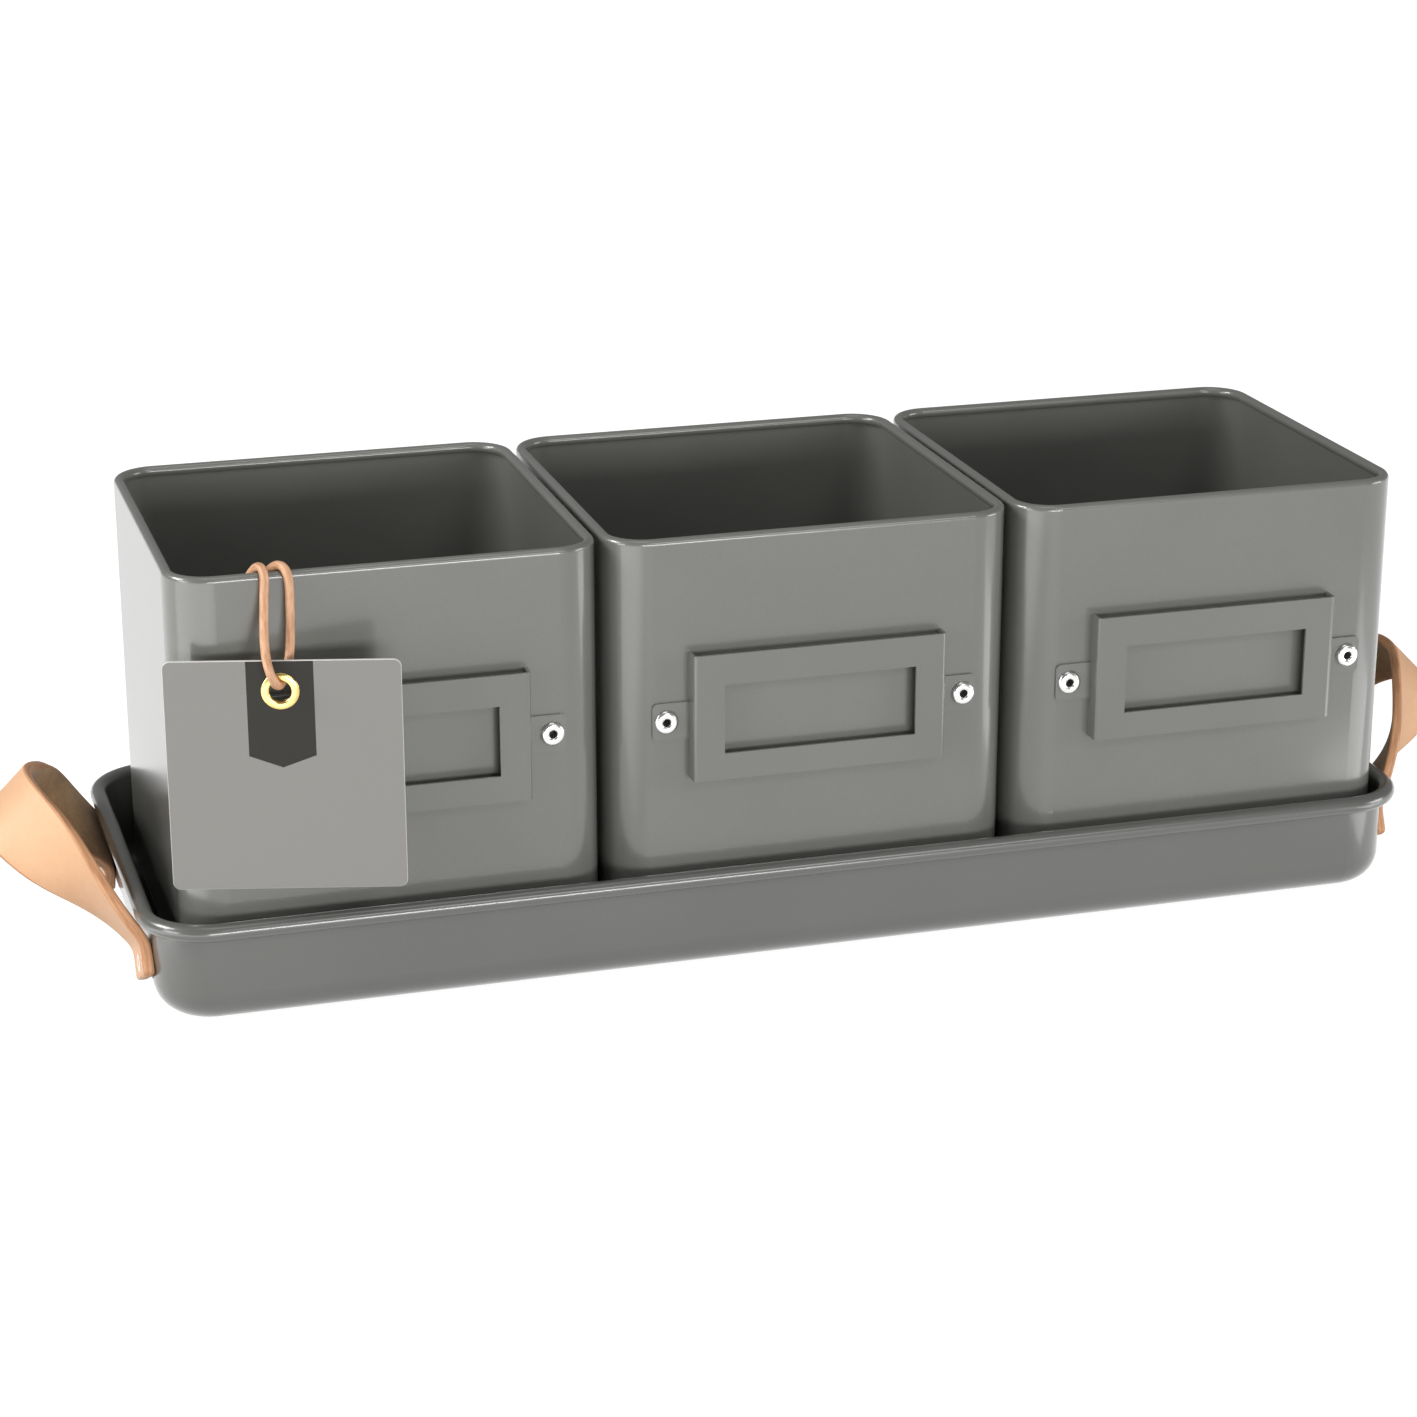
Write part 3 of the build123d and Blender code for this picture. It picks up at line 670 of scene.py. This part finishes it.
def tag_eyelet():
    """Rolled brass eyelet: a barrel through the card with a domed flange on each side."""
    half = TAG_SHEET / 2
    crest = EYELET_HOLE + EYELET_ROLL
    upper = arc((crest, half), EYELET_ROLL, EYELET_ROLL, 180, 90)
    dome = (EYELET_FLANGE - EYELET_ROLL, EYELET_ROLL - EYELET_BRIM)
    upper += arc((crest, half + EYELET_BRIM), *dome, 90, 0, steps=8)[1:]
    upper += [(EYELET_HOLE + EYELET_FLANGE - EYELET_BRIM, half), (EYELET_HOLE + EYELET_BARREL, half)]
    lower = [(radius, -height) for radius, height in reversed(upper)]
    piece = mesh_piece("tag_eyelet_rolled", lathe(upper + lower, tag_place), [BRASS])
    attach(piece, "tag")
    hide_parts("tag_eyelet")
    return piece


tag_card()
eyelet_piece = tag_eyelet()


# Cord: up from the knot inside the pot, over the rim, through the eyelet, and back over the rim to the knot
CORD_DIAMETER = 2.4
CORD_ROUTE = [
    (-153.6, -51.9, 84.3), (-153.6, -51.9, 98.3), (-152.2, -52.4, 110.0), (-151.6, -52.6, 117.5),
    (-147.8, -52.8, 123.6), (-146.7, -59.2, 123.6), (-147.3, -59.6, 115.5), (-148.6, -65.0, 107.5),
    (-149.0, -70.0, 102.0), (-147.0, -71.1, 96.0), (-144.1, -64.6, 94.9), (-141.6, -63.0, 101.5),
    (-140.7, -60.0, 112.0), (-140.5, -59.2, 123.6), (-143.4, -52.8, 123.6), (-147.6, -52.6, 117.0),
    (-148.6, -52.4, 109.5), (-149.8, -51.9, 98.3), (-149.8, -51.9, 84.3),
]
CORD_SIDES = 14
CORD_STEPS = 10  # points of the line for each point of its route
KNOT_TURNS = 2.2
KNOT_STEPS = 6
KNOT_COIL_POINTS = 22
KNOT_REACH = (2.9, 2.7)  # radii of the coil along X and Y
KNOT_TOP = -1.7  # the coil's start, from the cord's ends
KNOT_HEIGHT = 4.2
KNOT_TILT = 0.7
# One loose end, from the knot's middle: how far to its own side, to the back, more to the back by side, up
KNOT_TAIL = (
    (1.9, 0.0, 0.0, 0.0), (1.7, 0.0, 0.0, -3.5), (1.5, 0.2, 0.0, -7.5), (1.9, 0.4, 0.0, -11.0),
    (2.4, 0.5, -0.4, -13.8), (2.6, 0.6, -0.6, -16.4),
)


def route_line(route, steps):
    """Points along the NURBS spline of a route, in metres."""
    curve = bpy.data.curves.new("cord_line", "CURVE")
    curve.dimensions = "3D"
    spline = curve.splines.new("NURBS")
    spline.points.add(len(route) - 1)
    for point, place in zip(spline.points, route):
        point.co = (*[c * MM for c in place], 1.0)
    spline.order_u = 3
    spline.use_endpoint_u = True
    spline.resolution_u = steps
    holder = bpy.data.objects.new("cord_line", curve)
    scene.collection.objects.link(holder)
    bpy.context.view_layer.update()
    mesh = bpy.data.meshes.new_from_object(holder)
    line = [v.co.copy() for v in mesh.vertices]
    bpy.data.objects.remove(holder)
    bpy.data.curves.remove(curve)
    bpy.data.meshes.remove(mesh)
    return line


def cord_tube(line):
    """Shape of the cord along a line, with flat ends."""
    radius = CORD_DIAMETER / 2 * MM
    normal = (line[1] - line[0]).orthogonal().normalized()
    points, uvs = [], []
    length = 0.0
    for i, place in enumerate(line):
        before = line[max(i - 1, 0)]
        along = (line[min(i + 1, len(line) - 1)] - before).normalized()
        normal = unit_across(normal, along)
        side = along.cross(normal)
        length += (place - before).length
        for k in range(CORD_SIDES):
            turn = 2 * math.pi * k / CORD_SIDES
            points.append(place + (normal * math.cos(turn) + side * math.sin(turn)) * radius)
            uvs.append((length, turn * radius))
    return points, ring_faces(CORD_SIDES, len(line)), uvs


def cord_loop(line):
    """The loop, lying over the rim with the tag hanging from it."""
    piece = mesh_piece("tag_cord_loop", cord_tube(line), [CORD])
    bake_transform(piece)
    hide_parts("tag_cord")
    return piece


def cord_knot():
    """Overhand knot that closes the loop, with its two loose ends."""
    x, y, z = (Vector(CORD_ROUTE[0]) + Vector(CORD_ROUTE[-1])) / 2
    coil = []
    for i in range(KNOT_COIL_POINTS + 1):
        share = i / KNOT_COIL_POINTS
        turn = 2 * math.pi * KNOT_TURNS * share
        coil.append((x + KNOT_REACH[0] * math.cos(turn), y + KNOT_REACH[1] * math.sin(turn),
                     z + KNOT_TOP - KNOT_HEIGHT * share + KNOT_TILT * math.sin(turn)))
    strands = [coil]
    for sign in (-1, 1):
        strands.append([(x + sign * out, y + back + sign * splay, z + up)
                        for out, back, splay, up in KNOT_TAIL])
    shape = merged(cord_tube(route_line(strand, KNOT_STEPS)) for strand in strands)
    piece = mesh_piece("tag_cord_overhand_knot", shape, [CORD])
    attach(piece, "pot_left")
    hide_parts("tag_cord_knot")
    return piece


cord_line = route_line(CORD_ROUTE, CORD_STEPS)
cord_piece = cord_loop(cord_line)
knot_piece = cord_knot()


# Floor, surroundings and light, in metres
WHITE = linear("#ffffff")
FLOOR_SIZE = 14.0
FLOOR_DROP = -0.0004
FLOOR_GLOW = 0.92  # with what the lamps add, the floor shows white
SKY_MIRRORED = 0.22  # strength of the sky in gloss
SKY_FILL = 0.2  # and as light on everything
# Reflector boards on the floor, which only gloss sees: name, strength and outline
BOARDS = (
    ("board_left", 2.75, ((-1, -0.8), (-0.07, -0.8), (-0.07, -0.15), (-0.23, -0.15), (-0.23, -0.02),
                          (-1, -0.02))),
    ("board_right", 3.4, ((0.2, -0.15), (0.25, -0.195), (0.36, -0.29), (0.36, -0.08), (0.2, -0.08))),
    ("board_back_left", 1.02, ((-0.32, 0), (-0.186, 0), (-0.186, 0.6), (-0.32, 0.6))),
)
BOARD_FADE = (0.07, 0.22)  # distance from the middle over which a board comes up to its strength
# Soft boxes: name, place, width, height and power
LAMPS = (
    ("front_strip", (0.1, -2.4, 0.23), 1.3, 0.4, 28.5),
    ("front_high", (0.6, -1.9, 1.5), 0.8, 0.5, 6.5),
    ("softbox_left", (-2.2, -0.8, 0.45), 1.0, 0.8, 15.0),
    ("softbox_right", (2.1, -0.9, 0.4), 1.0, 0.7, 14.0),
    ("side_left", (-0.85, 0.05, 0.6), 0.4, 0.3, 5.5),
    ("overhead", (0.0, -0.2, 2.0), 0.9, 0.9, 3.2),
    ("back_fill", (0.2, 2.4, 0.1), 1.6, 0.3, 12.0),
)
LAMP_TARGET = Vector((0, -0.05, 0.07))


def pale_floor():
    """A pale matt floor that shows white and keeps the planter's shadow."""
    bpy.ops.mesh.primitive_plane_add(size=FLOOR_SIZE, location=(0, 0, FLOOR_DROP))
    floor = bpy.context.object
    floor.name = "floor"
    made = bpy.data.materials.new("pale_floor")
    tree = empty_tree(made)
    rays = add(tree, "LightPath").outputs
    seen = rays["Is Camera Ray"]
    for more in (rays["Is Glossy Ray"], rays["Is Transmission Ray"]):
        seen = add(tree, "Math", {0: seen, 1: more}, operation="MAXIMUM").outputs["Value"]
    glow = add(tree, "Math", {0: seen, 1: FLOOR_GLOW}, operation="MULTIPLY").outputs["Value"]
    white = add(tree, "Emission", {"Color": WHITE, "Strength": glow})
    matt = add(tree, "BsdfDiffuse", {"Color": linear("#9c9c9c")})
    both = add(tree, "AddShader", {0: white.outputs["Emission"], 1: matt.outputs["BSDF"]})
    add(tree, "OutputMaterial", {"Surface": both.outputs["Shader"]})
    floor.data.materials.append(made)


def reflector_board(name, strength, outline):
    """A lit board on the floor, faded towards the middle, which only gloss sees."""
    made = bpy.data.materials.new(f"reflector_{name}")
    tree = empty_tree(made)
    sides = add(tree, "SeparateXYZ", {"Vector": add(tree, "TexCoord").outputs["Object"]})
    out = add(tree, "Math", {0: sides.outputs["X"]}, operation="ABSOLUTE").outputs["Value"]
    fade = add(tree, "MapRange", {"Value": out, "From Min": BOARD_FADE[0], "From Max": BOARD_FADE[1],
                                  "To Min": 1.0, "To Max": strength}, interpolation_type="SMOOTHSTEP")
    lit = add(tree, "Emission", {"Color": WHITE, "Strength": fade.outputs["Result"]})
    add(tree, "OutputMaterial", {"Surface": lit.outputs["Emission"]})
    corners = [(x, y, 0) for x, y in outline]
    board = mesh_piece(name, (corners, [range(len(corners))], []), [made])
    board.visible_camera = False
    board.visible_diffuse = False
    board.visible_shadow = False


def white_surroundings():
    """A world that shows white, is dimmer in gloss, and gives a weak fill."""
    world = bpy.data.worlds.new("white_surroundings")
    scene.world = world
    tree = empty_tree(world)
    rays = add(tree, "LightPath").outputs
    mirrored = add(tree, "Math", {0: rays["Is Glossy Ray"], 1: SKY_MIRRORED}, operation="MULTIPLY")
    level = mirrored.outputs["Value"]
    for more in (rays["Is Camera Ray"], rays["Is Transmission Ray"], SKY_FILL):
        level = add(tree, "Math", {0: level, 1: more}, operation="MAXIMUM").outputs["Value"]
    sky = add(tree, "Background", {"Color": WHITE, "Strength": level})
    add(tree, "OutputWorld", {"Surface": sky.outputs["Background"]})


def soft_box(name, place, width, height, power):
    """A rectangular lamp that faces the planter."""
    lamp = bpy.data.lights.new(name, "AREA")
    lamp.shape = "RECTANGLE"
    lamp.size = width
    lamp.size_y = height
    lamp.energy = power
    holder = bpy.data.objects.new(name, lamp)
    holder.location = place
    holder.rotation_euler = (LAMP_TARGET - Vector(place)).to_track_quat("-Z", "Y").to_euler()
    # Seen in the gloss, the lamp behind would draw white lines along the rims
    holder.visible_glossy = name != "back_fill"
    scene.collection.objects.link(holder)


pale_floor()
for board in BOARDS:
    reflector_board(*board)
white_surroundings()
for lamp in LAMPS:
    soft_box(*lamp)
